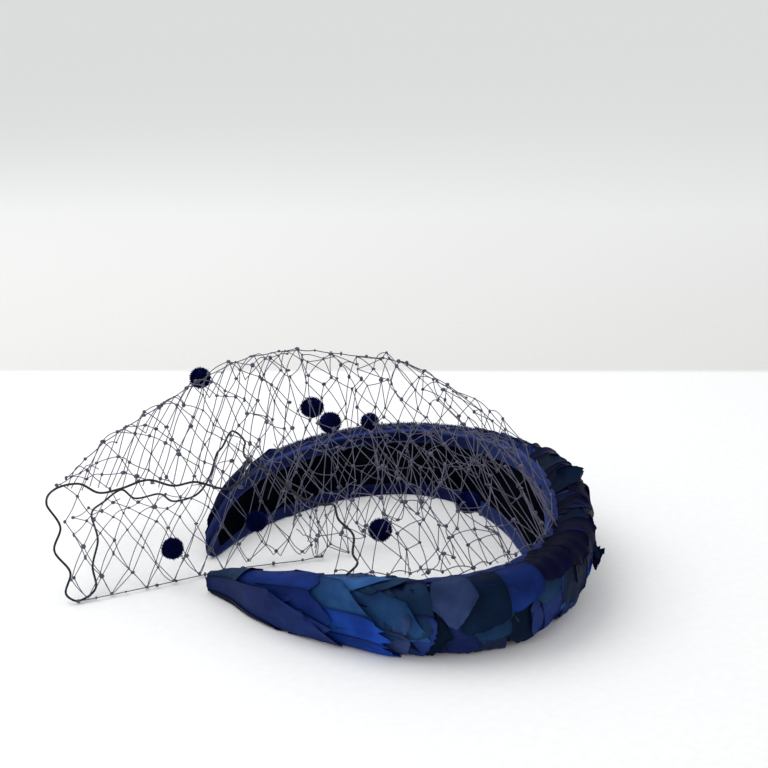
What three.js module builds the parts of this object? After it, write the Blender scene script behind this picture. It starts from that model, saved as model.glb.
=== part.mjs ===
// A padded velvet headband covered with shingled feathers, with a dotted net veil, lying on its side.
// Millimetres, +Z up. The open ends point to -X, the crown to +X, and the near arm is at -Y.
import * as THREE from 'three';
import { mergeVertices } from 'three/addons/utils/BufferGeometryUtils.js';

// The tips' midpoint, set so that the whole part's box is centred on the origin
const shift = { x: -46.91, y: -1.07 };
const gap = 0.3;

// The inner face of the band on the table, from the crown (along 0) to a tip (along 1)
const planRows = [
  { along: 0, x: 125.7, y: 0 },
  { along: 0.14, x: 122.7, y: 26.7 },
  { along: 0.27, x: 113.7, y: 49.9 },
  { along: 0.4, x: 94.5, y: 65.1 },
  { along: 0.55, x: 66.2, y: 65.4 },
  { along: 0.72, x: 37, y: 51 },
  { along: 0.85, x: 17.8, y: 35.1 },
  { along: 1, x: 0, y: 12.5 },
];
// Height of the band, its whole thickness and how far its upper edge leans out; the near tip is along -1
const sideRows = [
  { along: -1, height: 7, thick: 3.6, flare: 0 },
  { along: -0.93, height: 12, thick: 6.6, flare: 0.3 },
  { along: -0.85, height: 16.2, thick: 10.6, flare: 0.9 },
  { along: -0.72, height: 21.1, thick: 14.3, flare: 2.3 },
  { along: -0.5, height: 26, thick: 18.4, flare: 4.6 },
  { along: -0.27, height: 29.4, thick: 20.2, flare: 5.6 },
  { along: 0, height: 34.7, thick: 22, flare: 6.5 },
  { along: 0.27, height: 29.8, thick: 20.2, flare: 7.4 },
  { along: 0.5, height: 27, thick: 18.4, flare: 7.8 },
  { along: 0.72, height: 24.4, thick: 14.3, flare: 7.1 },
  { along: 0.85, height: 19.5, thick: 10.6, flare: 6 },
  { along: 0.93, height: 14, thick: 6.6, flare: 3.6 },
  { along: 1, height: 8, thick: 3.6, flare: 1.4 },
];
const bandSteps = 48;
const coreThick = 4;
const tipCoreThick = 2.8;
const rimShare = 0.17;
const liningDepth = 1.4;
const edgeRound = 0.9;
const padFrom = -0.93;
const padTo = 0.79;
const padEndRound = 0.05;
const featherRise = 3;
const coverThick = 1.3;
const coverSteps = 110;
const coverAcross = 14;
const coverLow = 0.2;
const coverHigh = 0.86;
const coverGap = 0.45;
// The padded body's outside, from its lower to its upper edge, as shares of pad thickness and height
const padRows = [
  { out: 0, up: 0 },
  { out: 0.42, up: 0 },
  { out: 0.8, up: 0.08 },
  { out: 0.96, up: 0.27 },
  { out: 1, up: 0.5 },
  { out: 0.95, up: 0.74 },
  { out: 0.78, up: 0.93 },
  { out: 0.45, up: 1.02 },
  { out: 0, up: 0.97 },
];

// The veil: one row for each rib across it, from its open end to the crown.
// back is its edge at the far arm, fold its line on the table, ridge its top, front its near edge.
const veilRows = [
  {
    x: -54, lean: -4, backY: 38, backZ: 16, foldY: -16, foldZ: 1.2,
    ridgeY: 0, ridgeZ: 42, frontY: -9, frontZ: 45,
  },
  {
    x: -38, lean: -2, backY: 50, backZ: 15, foldY: -12, foldZ: 1.2,
    ridgeY: 5, ridgeZ: 57, frontY: -20, frontZ: 49,
  },
  {
    x: -20, lean: 0, backY: 52, backZ: 14, foldY: -7, foldZ: 1.2,
    ridgeY: 9, ridgeZ: 68, frontY: -26, frontZ: 51,
  },
  {
    x: 0, lean: 0, backY: 50, backZ: 21, foldY: -1, foldZ: 1.2,
    ridgeY: 14, ridgeZ: 78, frontY: -28, frontZ: 49,
  },
  {
    x: 18, lean: 0, backY: 46, backZ: 40, foldY: 2, foldZ: 1.2,
    ridgeY: 19, ridgeZ: 84, frontY: -30, frontZ: 45,
  },
  {
    x: 40, lean: 0, backY: 56, backZ: 30, foldY: 4, foldZ: 1.2,
    ridgeY: 25, ridgeZ: 84, frontY: -57, frontZ: 24.6,
  },
  {
    x: 62, lean: 0, backY: 74, backZ: 28.8, foldY: 8, foldZ: 5,
    ridgeY: 30, ridgeZ: 79, frontY: -69.5, frontZ: 27.3,
  },
  {
    x: 86, lean: 0, backY: 76, backZ: 29.6, foldY: 12, foldZ: 14,
    ridgeY: 30, ridgeZ: 74, frontY: -73, frontZ: 28.8,
  },
  {
    x: 109, lean: 0, backY: 67, backZ: 31, foldY: 12, foldZ: 25,
    ridgeY: 22, ridgeZ: 60, frontY: -65, frontZ: 30.4,
  },
  {
    x: 123, lean: 0, backY: 50, backZ: 32.4, foldY: 8, foldZ: 35,
    ridgeY: 8, ridgeZ: 48, frontY: -49, frontZ: 32,
  },
  {
    x: 130, lean: 0, backY: 28, backZ: 35, foldY: 3, foldZ: 37,
    ridgeY: 0, ridgeZ: 38.5, frontY: -28, frontZ: 35,
  },
];
const backBelly = 9;
const wallBelly = 7;
const frontBelly = 10;
const netThick = 1.2;
// The net's diamonds: half cells along and across it, and the share of each that is open
const netAlong = 18;
const netAcross = 12;
const netHole = 0.82;
const hemHole = 0.72;

const dotRadius = 4.3;
// Where each dot sits on the veil, as shares along it and across it, and on which side of the net
const dotRows = [
  { along: 0.305, across: 0.64, side: -1 },
  { along: 0.215, across: 0.408, side: 1 },
  { along: 0.505, across: 0.788, side: 1 },
  { along: 0.53, across: 0.808, side: 1 },
  { along: 0.665, across: 0.035, side: -1 },
  { along: 0.575, across: 0.945, side: 1 },
  { along: 0.73, across: 0.917, side: 1 },
  { along: 0.395, across: 0.417, side: 1 },
];

const colours = {
  velvet: 0x1b2560,
  lining: 0x0b0e1c,
  feather: 0x16306f,
  net: 0x2a2a38,
  dot: 0x11163f,
};

function clamp(v, low, high) {
  return Math.min(high, Math.max(low, v));
}

// A value between the rows of a table, on a smooth curve through them
function between(rows, at, name, t) {
  const last = rows.length - 2;
  let i = 0;
  while (i < last && t > rows[i + 1][at]) i += 1;
  const slope = (a, b) => (rows[b][name] - rows[a][name]) / (rows[b][at] - rows[a][at]);
  const here = slope(i, i + 1);
  const before = i > 0 ? slope(i - 1, i + 1) : here;
  const after = i < last ? slope(i, i + 2) : here;
  const span = rows[i + 1][at] - rows[i][at];
  const u = clamp((t - rows[i][at]) / span, 0, 1);
  const u2 = u * u;
  const u3 = u2 * u;
  return (2 * u3 - 3 * u2 + 1) * rows[i][name] + (u3 - 2 * u2 + u) * span * before
    + (3 * u2 - 2 * u3) * rows[i + 1][name] + (u3 - u2) * span * after;
}

const mirrored = planRows.slice(1).map((row) => ({ along: -row.along, x: row.x, y: -row.y }));
const fullPlan = [...mirrored.reverse(), ...planRows];

// The band's section at a share of its length: place, outward direction and sizes
function section(along) {
  const step = 0.004;
  const a = clamp(along, -1 + step, 1 - step);
  const plan = (name, t) => between(fullPlan, 'along', name, t);
  const at = (t) => new THREE.Vector2(plan('x', t), plan('y', t));
  const way = at(a + step).sub(at(a - step)).normalize();
  const tip = Math.max(0, (Math.abs(along) - 0.8) / 0.2);
  return {
    place: at(along),
    out: new THREE.Vector2(way.y, -way.x),
    height: between(sideRows, 'along', 'height', along),
    thick: between(sideRows, 'along', 'thick', along),
    flare: between(sideRows, 'along', 'flare', along),
    core: coreThick + (tipCoreThick - coreThick) * tip,
  };
}

// A point of the band: how far out of its inner face, and how high
function bandPoint(s, out, up) {
  const reach = out + s.flare * up / s.height;
  const x = s.place.x + s.out.x * reach;
  const y = s.place.y + s.out.y * reach;
  return new THREE.Vector3(x + shift.x, y + shift.y, up);
}

function meshFrom(points, faces) {
  const geometry = new THREE.BufferGeometry();
  const values = points.flatMap((p) => [p.x, p.y, p.z]);
  geometry.setAttribute('position', new THREE.Float32BufferAttribute(values, 3));
  geometry.setIndex(faces.flat());
  return geometry;
}

// The signed volume of a closed mesh, below zero if its faces point inwards
function signedVolume(points, faces) {
  const cross = new THREE.Vector3();
  return faces.reduce((sum, [a, b, c]) => {
    cross.crossVectors(points[b], points[c]);
    return sum + points[a].dot(cross) / 6;
  }, 0);
}

function closed(points, faces) {
  const outward = signedVolume(points, faces) < 0 ? faces.map(([a, b, c]) => [a, c, b]) : faces;
  return meshFrom(points, outward);
}

// A closed solid through rings of points, with flat caps of triangles from each end's middle
function loft(rings) {
  const n = rings[0].length;
  const points = rings.flat();
  const faces = [];
  for (let i = 0; i < rings.length - 1; i += 1) {
    for (let k = 0; k < n; k += 1) {
      const a = i * n + k;
      const b = i * n + (k + 1) % n;
      faces.push([a, b, b + n], [a, b + n, a + n]);
    }
  }
  const lastRing = (rings.length - 1) * n;
  for (const [ring, start] of [[rings[0], 0], [rings[rings.length - 1], lastRing]]) {
    const middle = points.length;
    points.push(ring.reduce((sum, p) => sum.add(p), new THREE.Vector3()).divideScalar(n));
    for (let k = 0; k < n; k += 1) {
      const a = start + k;
      const b = start + (k + 1) % n;
      faces.push(start === 0 ? [middle, b, a] : [middle, a, b]);
    }
  }
  return closed(points, faces);
}

function steps(from, to, count) {
  return Array.from({ length: count + 1 }, (_, i) => from + (to - from) * i / count);
}

// The velvet covered band: a flat strip whose two rims stand proud of the lining
function makeCore() {
  return loft(steps(-1, 1, bandSteps).map((along) => {
    const s = section(along);
    const round = Math.min(edgeRound, s.core * 0.3);
    const rim = s.height * rimShare;
    const low = rim + 0.5;
    const high = s.height - rim - 0.5;
    const depth = Math.min(liningDepth, s.core * 0.4);
    return [
      [round, 0], [s.core - round, 0], [s.core, round], [s.core, s.height - round],
      [s.core - round, s.height], [round, s.height], [0, s.height - round], [0, s.height - rim],
      [depth, high], [depth, low], [0, rim], [0, round],
    ].map(([out, up]) => bandPoint(s, out, up));
  }));
}

function makeLining() {
  return loft(steps(-0.95, 0.95, bandSteps - 4).map((along) => {
    const s = section(along);
    const low = s.height * rimShare + 0.9;
    const high = s.height * (1 - rimShare) - 0.9;
    const depth = Math.min(liningDepth, s.core * 0.4) - gap;
    const corners = [[0.1, low], [depth, low], [depth, high], [0.1, high]];
    return corners.map(([out, up]) => bandPoint(s, out, up));
  }));
}

// How much of its full thickness the pad has: it rounds off at its two ends
function padShare(along) {
  const left = Math.min(along - padFrom, padTo - along) / padEndRound;
  return Math.sqrt(1 - (1 - clamp(left, 0.06, 1)) ** 2);
}

function padThick(s, along) {
  return Math.max(1.2, (s.thick - s.core - gap - featherRise)) * padShare(along);
}

function makePad() {
  return loft(steps(padFrom, padTo, bandSteps - 6).map((along) => {
    const s = section(along);
    const thick = padThick(s, along);
    return padRows.map((row) => bandPoint(s, s.core + gap + row.out * thick, row.up * s.height));
  }));
}

// A point over the pad's outside: share from its lower to its upper edge, and how far it stands off
function coverPoint(along, girth, off) {
  const s = section(along);
  const thick = padThick(s, along);
  const rows = padRows.map((row, i) => ({
    at: i / (padRows.length - 1), out: row.out * thick, up: row.up * s.height,
  }));
  const at = (g) => new THREE.Vector2(between(rows, 'at', 'out', g), between(rows, 'at', 'up', g));
  const way = at(girth + 0.02).sub(at(girth - 0.02)).normalize();
  const p = at(girth).add(new THREE.Vector2(way.y, -way.x).multiplyScalar(off));
  return bandPoint(s, s.core + gap + p.x, Math.max(p.y, 0.3));
}

// Half widths of one feather along its length, and how far its back stands off the pad
const featherRows = [
  { at: 0, half: 0.5, off: 1.3 },
  { at: 0.4, half: 0.95, off: 1.8 },
  { at: 0.75, half: 1, off: 2.7 },
  { at: 1, half: 0.45, off: 3.6 },
];
const nearRows = { count: 13, from: padFrom - 0.01, spacing: 0.084, length: 0.15 };
const farRows = { count: 6, from: padTo + 0.01, spacing: -0.088, length: -0.15 };
const girthRows = [[0.24, 0.52, 0.8], [0.14, 0.38, 0.66, 0.88]];
const featherWidth = 0.3;
const featherSlant = -0.04;

// Feathers in rows round the band, all pointing to the crown
const feathers = [nearRows, farRows].flatMap((side) => (
  Array.from({ length: side.count }, (_, i) => girthRows[i % 2].map((girth) => ({
    along: side.from + i * side.spacing, girth, length: side.length,
  }))).flat()
));

// How far the topmost feather stands off the pad: free ends lie over the next row's roots
function shingleHeight(along, girth) {
  let height = coverThick;
  for (const feather of feathers) {
    const t = (along - feather.along) / feather.length;
    const half = featherWidth / 2 * between(featherRows, 'at', 'half', clamp(t, 0, 1));
    const aside = Math.abs(girth - feather.girth - featherSlant * t);
    if (t >= 0 && t <= 1 && aside < half) {
      height = Math.max(height, between(featherRows, 'at', 'off', t));
    }
  }
  return height;
}

// The feather cover: one shell over the pad whose outside steps up along each feather
function makeFeathers() {
  const outside = steps(coverLow, coverHigh, coverAcross);
  const middle = steps(0.75, 0.25, padRows.length - 5);
  const inside = [coverHigh, ...middle, coverLow];
  return loft(steps(padFrom + 0.015, padTo - 0.015, coverSteps).map((along) => [
    ...outside.map((g) => coverPoint(along, g, coverGap + shingleHeight(along, g))),
    ...inside.map((g) => coverPoint(along, g, coverGap)),
  ]));
}

// A rib of the veil at a share of its length: seven points from its far to its near edge
function veilRib(along) {
  const rows = veilRows.map((row, i) => ({ ...row, at: i / (veilRows.length - 1) }));
  const value = (name) => between(rows, 'at', name, along);
  const x = value('x');
  const lean = value('lean');
  const close = 1 - clamp((along - 0.75) / 0.25, 0, 1);
  const open = clamp(along / 0.25, 0, 1);
  const back = new THREE.Vector3(x, value('backY'), value('backZ'));
  const fold = new THREE.Vector3(x, value('foldY'), value('foldZ'));
  const ridge = new THREE.Vector3(x + lean, value('ridgeY'), value('ridgeZ'));
  const front = new THREE.Vector3(x + lean, value('frontY'), value('frontZ'));
  const middle = (a, b, up, side) => (
    a.clone().add(b).multiplyScalar(0.5).add(new THREE.Vector3(0, side, up))
  );
  return [
    back,
    middle(back, fold, backBelly * close, 0),
    fold,
    middle(fold, ridge, 0, wallBelly * close),
    ridge,
    middle(ridge, front, frontBelly * close * open, 0),
    front,
  ];
}

function veilPoint(along, across) {
  const rib = veilRib(clamp(along, 0, 1));
  const rows = rib.map((p, i) => ({ at: i / (rib.length - 1), x: p.x, y: p.y, z: p.z }));
  const value = (name) => between(rows, 'at', name, clamp(across, 0, 1));
  return new THREE.Vector3(value('x') + shift.x, value('y') + shift.y, value('z'));
}

function veilNormal(along, across) {
  const d = 0.01;
  const a = veilPoint(along + d, across).sub(veilPoint(along - d, across));
  const b = veilPoint(along, across + d).sub(veilPoint(along, across - d));
  return a.cross(b).normalize();
}

// The net as one thin sheet cut through by diamond gaps
function makeVeil() {
  const points = [];
  const faces = [];
  const known = new Map();
  const pair = (u, v) => {
    const key = `${u.toFixed(4)},${v.toFixed(4)}`;
    if (!known.has(key)) {
      const p = veilPoint(u / netAlong, v / netAcross);
      const n = veilNormal(u / netAlong, v / netAcross).multiplyScalar(netThick / 2);
      known.set(key, points.length);
      points.push(p.clone().add(n), p.clone().sub(n));
    }
    return known.get(key);
  };
  const flat = (corners) => {
    for (let k = 1; k < corners.length - 1; k += 1) {
      faces.push([corners[0], corners[k], corners[k + 1]]);
      faces.push([corners[0] + 1, corners[k + 1] + 1, corners[k] + 1]);
    }
  };
  const wall = (a, b) => {
    faces.push([a, a + 1, b + 1], [a, b + 1, b]);
  };
  const around = [[-1, 0], [0, -1], [1, 0], [0, 1]];
  const inside = ([u, v]) => u >= 0 && u <= netAlong && v >= 0 && v <= netAcross;
  for (let i = 0; i <= netAlong; i += 1) {
    for (let j = 0; j <= netAcross; j += 1) {
      if ((i + j) % 2 === 0) continue;
      const reached = around.map(([du, dv]) => [i + du, j + dv]);
      // At the hem a gap is half a diamond, and the corner outside the net falls back to the hem
      const atHem = !reached.every(inside);
      const corners = reached.map((corner) => (inside(corner) ? corner : [i, j]));
      const share = atHem ? hemHole : netHole;
      const middle = [0, 1].map((axis) => corners.reduce((sum, corner) => sum + corner[axis], 0) / 4);
      const outer = corners.map(([u, v]) => pair(u, v));
      const inner = corners.map(([u, v]) => (
        pair(middle[0] + (u - middle[0]) * share, middle[1] + (v - middle[1]) * share)
      ));
      const hem = reached.map((corner) => !inside(corner));
      for (let k = 0; k < 4; k += 1) {
        const next = (k + 1) % 4;
        flat([outer[k], outer[next], inner[next], inner[k]]);
        wall(inner[next], inner[k]);
        if (hem[k] || hem[next]) wall(outer[k], outer[next]);
      }
    }
  }
  return closed(points, faces);
}

// A dot is a slightly uneven ball that touches the net
function makeDot(row, index) {
  const faceted = new THREE.IcosahedronGeometry(dotRadius, 1);
  const ball = mergeVertices(faceted.deleteAttribute('normal').deleteAttribute('uv'), 1e-4);
  const place = veilPoint(row.along, row.across);
  const off = dotRadius * 1.06 + netThick / 2 + gap;
  const away = veilNormal(row.along, row.across).multiplyScalar(row.side * off);
  const position = ball.attributes.position;
  for (let i = 0; i < position.count; i += 1) {
    const size = 1 + 0.05 * Math.sin(i * 2.4 + index * 1.7);
    position.setXYZ(i, position.getX(i) * size, position.getY(i) * size, position.getZ(i) * size * 0.93);
  }
  return ball.translate(place.x + away.x, place.y + away.y, place.z + away.z);
}

const part = new THREE.Group();

function add(name, geometry, colour, roughness) {
  geometry.computeVertexNormals();
  const material = new THREE.MeshStandardMaterial({ color: colour, roughness, metalness: 0 });
  const mesh = new THREE.Mesh(geometry, material);
  mesh.name = name;
  part.add(mesh);
}

add('velvet_band', makeCore(), colours.velvet, 0.95);
add('inner_lining', makeLining(), colours.lining, 0.9);
add('padded_body', makePad(), colours.velvet, 0.95);
add('feather_cover', makeFeathers(), colours.feather, 0.5);
add('net_veil', makeVeil(), colours.net, 0.7);
dotRows.forEach((row, i) => add(`chenille_dot_${i + 1}`, makeDot(row, i), colours.dot, 0.95));

export default part;
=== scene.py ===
import math

import bpy
import numpy as np
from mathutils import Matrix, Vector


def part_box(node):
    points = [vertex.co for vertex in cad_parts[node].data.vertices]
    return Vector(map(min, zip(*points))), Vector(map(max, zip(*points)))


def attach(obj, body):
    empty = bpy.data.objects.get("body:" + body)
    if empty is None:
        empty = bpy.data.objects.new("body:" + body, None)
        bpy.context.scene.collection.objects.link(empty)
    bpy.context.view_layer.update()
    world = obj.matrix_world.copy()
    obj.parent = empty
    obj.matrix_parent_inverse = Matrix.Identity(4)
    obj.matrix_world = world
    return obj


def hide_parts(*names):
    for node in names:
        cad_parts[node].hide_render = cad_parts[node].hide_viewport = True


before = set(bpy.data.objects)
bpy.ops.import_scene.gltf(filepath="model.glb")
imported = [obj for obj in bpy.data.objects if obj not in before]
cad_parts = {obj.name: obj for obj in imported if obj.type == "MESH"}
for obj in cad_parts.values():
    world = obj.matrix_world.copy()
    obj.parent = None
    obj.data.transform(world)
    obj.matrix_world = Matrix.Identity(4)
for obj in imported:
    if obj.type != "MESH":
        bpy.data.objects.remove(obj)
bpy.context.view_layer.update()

rng = np.random.default_rng(11)

# shape of the band, in millimetres; the tips' midpoint is moved by shift, as in the solids
shift = np.array([-46.91, -1.07, 0.0])
gap = 0.3


def table(names, rows):
    # a short table as one array for each named column
    return dict(zip(names.split(), np.array(rows, float).T))


plan = table("along x y", [
    (0, 125.7, 0), (0.14, 122.7, 26.7), (0.27, 113.7, 49.9), (0.4, 94.5, 65.1),
    (0.55, 66.2, 65.4), (0.72, 37, 51), (0.85, 17.8, 35.1), (1, 0, 12.5),
])
plan = {
    "along": np.concatenate([-plan["along"][:0:-1], plan["along"]]),
    "x": np.concatenate([plan["x"][:0:-1], plan["x"]]),
    "y": np.concatenate([-plan["y"][:0:-1], plan["y"]]),
}
side = table("along height thick flare", [
    (-1, 7, 3.6, 0), (-0.93, 12, 6.6, 0.3), (-0.85, 16.2, 10.6, 0.9), (-0.72, 21.1, 14.3, 2.3),
    (-0.5, 26, 18.4, 4.6), (-0.27, 29.4, 20.2, 5.6), (0, 34.7, 22, 6.5), (0.27, 29.8, 20.2, 7.4),
    (0.5, 27, 18.4, 7.8), (0.72, 24.4, 14.3, 7.1), (0.85, 19.5, 10.6, 6), (0.93, 14, 6.6, 3.6),
    (1, 8, 3.6, 1.4),
])
padProfile = table("out up", [
    (0, 0), (0.42, 0), (0.8, 0.08), (0.96, 0.27), (1, 0.5), (0.95, 0.74), (0.78, 0.93),
    (0.45, 1.02), (0, 0.97),
])
padProfile["at"] = np.linspace(0, 1, len(padProfile["out"]))

band = {
    "coreThick": 4.0,
    "tipCoreThick": 2.8,
    "rimShare": 0.17,
    "liningDepth": 1.4,
    "liningShare": 0.4,
    "padFrom": -0.93,
    "padTo": 0.79,
    "padEndRound": 0.05,
    "featherRise": 3.0,
}


def cubic(u, start, end, startSlope, endSlope):
    # goes from start to end while u goes from 0 to 1, leaving and arriving at the given slopes
    return ((2 * u**3 - 3 * u**2 + 1) * start + (u**3 - 2 * u**2 + u) * startSlope
            + (3 * u**2 - 2 * u**3) * end + (u**3 - u**2) * endSlope)


def between(columns, name, t, at="along"):
    # value of a column at t: cubic through the rows, each row's slope taken from its two neighbours
    a, v = columns[at], columns[name]
    t = np.asarray(t, float)
    slopes = np.empty_like(v)
    slopes[1:-1] = (v[2:] - v[:-2]) / (a[2:] - a[:-2])
    slopes[0] = (v[1] - v[0]) / (a[1] - a[0])
    slopes[-1] = (v[-1] - v[-2]) / (a[-1] - a[-2])
    i = np.clip(np.searchsorted(a, t) - 1, 0, len(a) - 2)
    span = a[i + 1] - a[i]
    u = np.clip((t - a[i]) / span, 0, 1)
    return cubic(u, v[i], v[i + 1], span * slopes[i], span * slopes[i + 1])


def section(along):
    # the band's section: place on the plan, outward direction, height, thickness, lean and core thickness
    step = 0.004
    a = np.clip(along, -1 + step, 1 - step)
    wayX = between(plan, "x", a + step) - between(plan, "x", a - step)
    wayY = between(plan, "y", a + step) - between(plan, "y", a - step)
    size = np.hypot(wayX, wayY)
    tip = np.maximum(0, (np.abs(along) - 0.8) / 0.2)
    return {
        "x": between(plan, "x", along),
        "y": between(plan, "y", along),
        "outX": wayY / size,
        "outY": -wayX / size,
        "height": between(side, "height", along),
        "thick": between(side, "thick", along),
        "flare": between(side, "flare", along),
        "core": band["coreThick"] + (band["tipCoreThick"] - band["coreThick"]) * tip,
    }


def bandPoint(s, out, up):
    # place on the plan, plus the outward direction times how far out, which grows with height by the lean
    reach = out + s["flare"] * up / s["height"]
    return np.stack([s["x"] + s["outX"] * reach, s["y"] + s["outY"] * reach, up + 0 * reach], -1) + shift


def padShare(along):
    # a quarter round at both ends of the pad
    left = np.minimum(along - band["padFrom"], band["padTo"] - along) / band["padEndRound"]
    return np.sqrt(1 - (1 - np.clip(left, 0.06, 1)) ** 2)


def padThick(s, along):
    return np.maximum(1.2, s["thick"] - s["core"] - gap - band["featherRise"]) * padShare(along)


def coverPoint(along, girth, off):
    # a point of the pad's outside at a share of its girth, moved off along the section's normal
    along, girth, off = np.broadcast_arrays(*[np.asarray(v, float) for v in (along, girth, off)])
    s = section(along)
    thick = padThick(s, along)

    def at(g):
        return (between(padProfile, "out", g, "at") * thick, between(padProfile, "up", g, "at") * s["height"])

    lowOut, lowUp = at(girth - 0.02)
    highOut, highUp = at(girth + 0.02)
    size = np.hypot(highOut - lowOut, highUp - lowUp) + 1e-9
    out, up = at(girth)
    out = out + off * (highUp - lowUp) / size
    up = up - off * (highOut - lowOut) / size
    return bandPoint(s, s["core"] + gap + out, np.maximum(up, 0.25))


def makeMesh(name, points, faces, material, tint=None, uv=None):
    # points in millimetres, faces a list of index arrays with 3 or 4 corners each
    mesh = bpy.data.meshes.new(name)
    mesh.vertices.add(len(points))
    mesh.vertices.foreach_set("co", (np.asarray(points, float) * 0.001).astype(np.float32).ravel())
    corners = np.concatenate([f.ravel() for f in faces])
    counts = np.concatenate([np.full(len(f), f.shape[1]) for f in faces])
    mesh.loops.add(len(corners))
    mesh.loops.foreach_set("vertex_index", corners.astype(np.int32))
    mesh.polygons.add(len(counts))
    mesh.polygons.foreach_set("loop_start", np.concatenate([[0], np.cumsum(counts)[:-1]]).astype(np.int32))
    mesh.polygons.foreach_set("use_smooth", np.full(len(counts), True))
    mesh.update(calc_edges=True)
    mesh.validate()
    if tint is not None:
        layer = mesh.attributes.new("tint", "FLOAT_COLOR", "POINT")
        layer.data.foreach_set("color", np.c_[tint, np.ones(len(tint))].astype(np.float32).ravel())
    if uv is not None:
        layer = mesh.uv_layers.new(name="UVMap")
        layer.data.foreach_set("uv", np.asarray(uv, float)[corners].astype(np.float32).ravel())
    mesh.materials.append(material)
    piece = bpy.data.objects.new(name, mesh)
    bpy.context.scene.collection.objects.link(piece)
    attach(piece, "root")
    return piece


def gridFaces(rows, columns, closed=False):
    # quads of a grid of points numbered row by row; closed joins the last column to the first
    i = np.arange(rows - 1)[:, None]
    j = np.arange(columns if closed else columns - 1)[None, :]
    k = (j + 1) % columns
    return np.stack([i * columns + j, i * columns + k, (i + 1) * columns + k, (i + 1) * columns + j],
                    -1).reshape(-1, 4)


def cappedFaces(rows, columns):
    # faces of a closed form whose points are rings in order, then one point for the fan at each end
    k = np.arange(columns)
    following = (k + 1) % columns
    last = (rows - 1) * columns
    start = np.stack([np.full(columns, rows * columns), following, k], -1)
    end = np.stack([np.full(columns, rows * columns + 1), last + k, last + following], -1)
    return [gridFaces(rows, columns, True), np.concatenate([start, end])]


def loft(rings):
    # a closed solid through rings of points, with a fan at each end round its middle point
    return np.concatenate([rings.reshape(-1, 3), rings[[0, -1]].mean(1)]), cappedFaces(*rings.shape[:2])


def ballShell(rings, sides):
    # unit directions on a ball, a row for each ring from the top down, and each ring's tilt and side's turn
    tilt = np.linspace(0, math.pi, rings + 2)[1:-1, None]
    turn = (np.arange(sides) * 2 * math.pi / sides)[None, :]
    shell = np.stack([np.sin(tilt) * np.cos(turn), np.sin(tilt) * np.sin(turn), np.cos(tilt) + 0 * turn], -1)
    return shell, tilt, turn


def copied(faces, count, size):
    # the same faces once for each of many copies that have size points each
    return (faces[None] + np.arange(count)[:, None, None] * size).reshape(-1, faces.shape[1])


def outward(points, faces):
    # turns all faces round if the signed volume is below zero
    volume = 0
    for f in faces:
        for c in range(1, f.shape[1] - 1):
            a, b, d = points[f[:, 0]], points[f[:, c]], points[f[:, c + 1]]
            volume += np.einsum("ij,ij->", a, np.cross(b, d))
    return faces if volume > 0 else [f[:, ::-1] for f in faces]


def tubes(paths, radius, sides=5):
    # round tubes along many paths at once: paths (tubes, steps, xyz), radius a number or (tubes, steps)
    many, steps = paths.shape[:2]
    way = np.gradient(paths, axis=1)
    way /= np.linalg.norm(way, axis=-1, keepdims=True) + 1e-12
    chord = paths[:, -1] - paths[:, 0]
    helper = np.where(np.abs(chord[:, 2:3]) > 0.8 * np.linalg.norm(chord, axis=-1, keepdims=True),
                      [[1.0, 0.0, 0.0]], [[0.0, 0.0, 1.0]])[:, None, :]
    across = np.cross(way, helper)
    across /= np.linalg.norm(across, axis=-1, keepdims=True) + 1e-12
    over = np.cross(across, way)
    turn = np.arange(sides) * 2 * math.pi / sides
    wide = np.broadcast_to(np.asarray(radius, float), (many, steps))[..., None, None]
    rings = (paths[:, :, None] + wide * (np.cos(turn)[:, None] * across[:, :, None]
                                         + np.sin(turn)[:, None] * over[:, :, None]))
    fan = np.arange(1, sides - 1)
    startCap = np.stack([0 * fan, fan + 1, fan], -1)
    endCap = np.stack([0 * fan, fan, fan + 1], -1) + (steps - 1) * sides
    parts = [gridFaces(steps, sides, True), np.concatenate([startCap, endCap])]
    return rings.reshape(-1, 3), [copied(f, many, steps * sides) for f in parts]


def joined(parts):
    # several (points, faces) as one
    points, faces, start = [], [], 0
    for p, f in parts:
        points.append(p)
        faces += [g + start for g in f]
        start += len(p)
    return np.concatenate(points), faces


def smoothNoise(count, length, waves=6, seed=0):
    # a smooth random curve: a few sines with random phases, all of about the same size
    own = np.random.default_rng(seed)
    t = np.linspace(0, 1, count)
    total = np.zeros(count)
    for _ in range(waves):
        speed = own.uniform(0.4, 1)
        total += np.sin(2 * math.pi * t * speed * length + own.uniform(0, 6.3))
    return total / math.sqrt(waves)


print("shape tables ready")


# materials
def toLinear(hexColour):
    # sRGB hex to the linear colour the shader wants
    value = np.array([int(hexColour[i:i + 2], 16) for i in (1, 3, 5)]) / 255
    return tuple(np.where(value <= 0.04045, value / 12.92, ((value + 0.055) / 1.055) ** 2.4)) + (1.0,)


def addNode(tree, kind, links=(), **settings):
    # one node: settings are properties or, after "in_", input values; links are (input, other node's output)
    node = tree.nodes.new(kind)
    for name, value in settings.items():
        if name.startswith("in_"):
            key = name[3:].replace("_", " ")
            key = int(key) if key.isdigit() else key
            node.inputs[key].default_value = value
        else:
            setattr(node, name, value)
    for name, output in links:
        tree.links.new(output, node.inputs[name])
    return node


def newMaterial(name):
    material = bpy.data.materials.new(name)
    material.use_nodes = True
    tree = material.node_tree
    tree.nodes.clear()
    shader = addNode(tree, "ShaderNodeBsdfPrincipled")
    addNode(tree, "ShaderNodeOutputMaterial", [("Surface", shader.outputs[0])])
    return material, tree, shader


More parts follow.
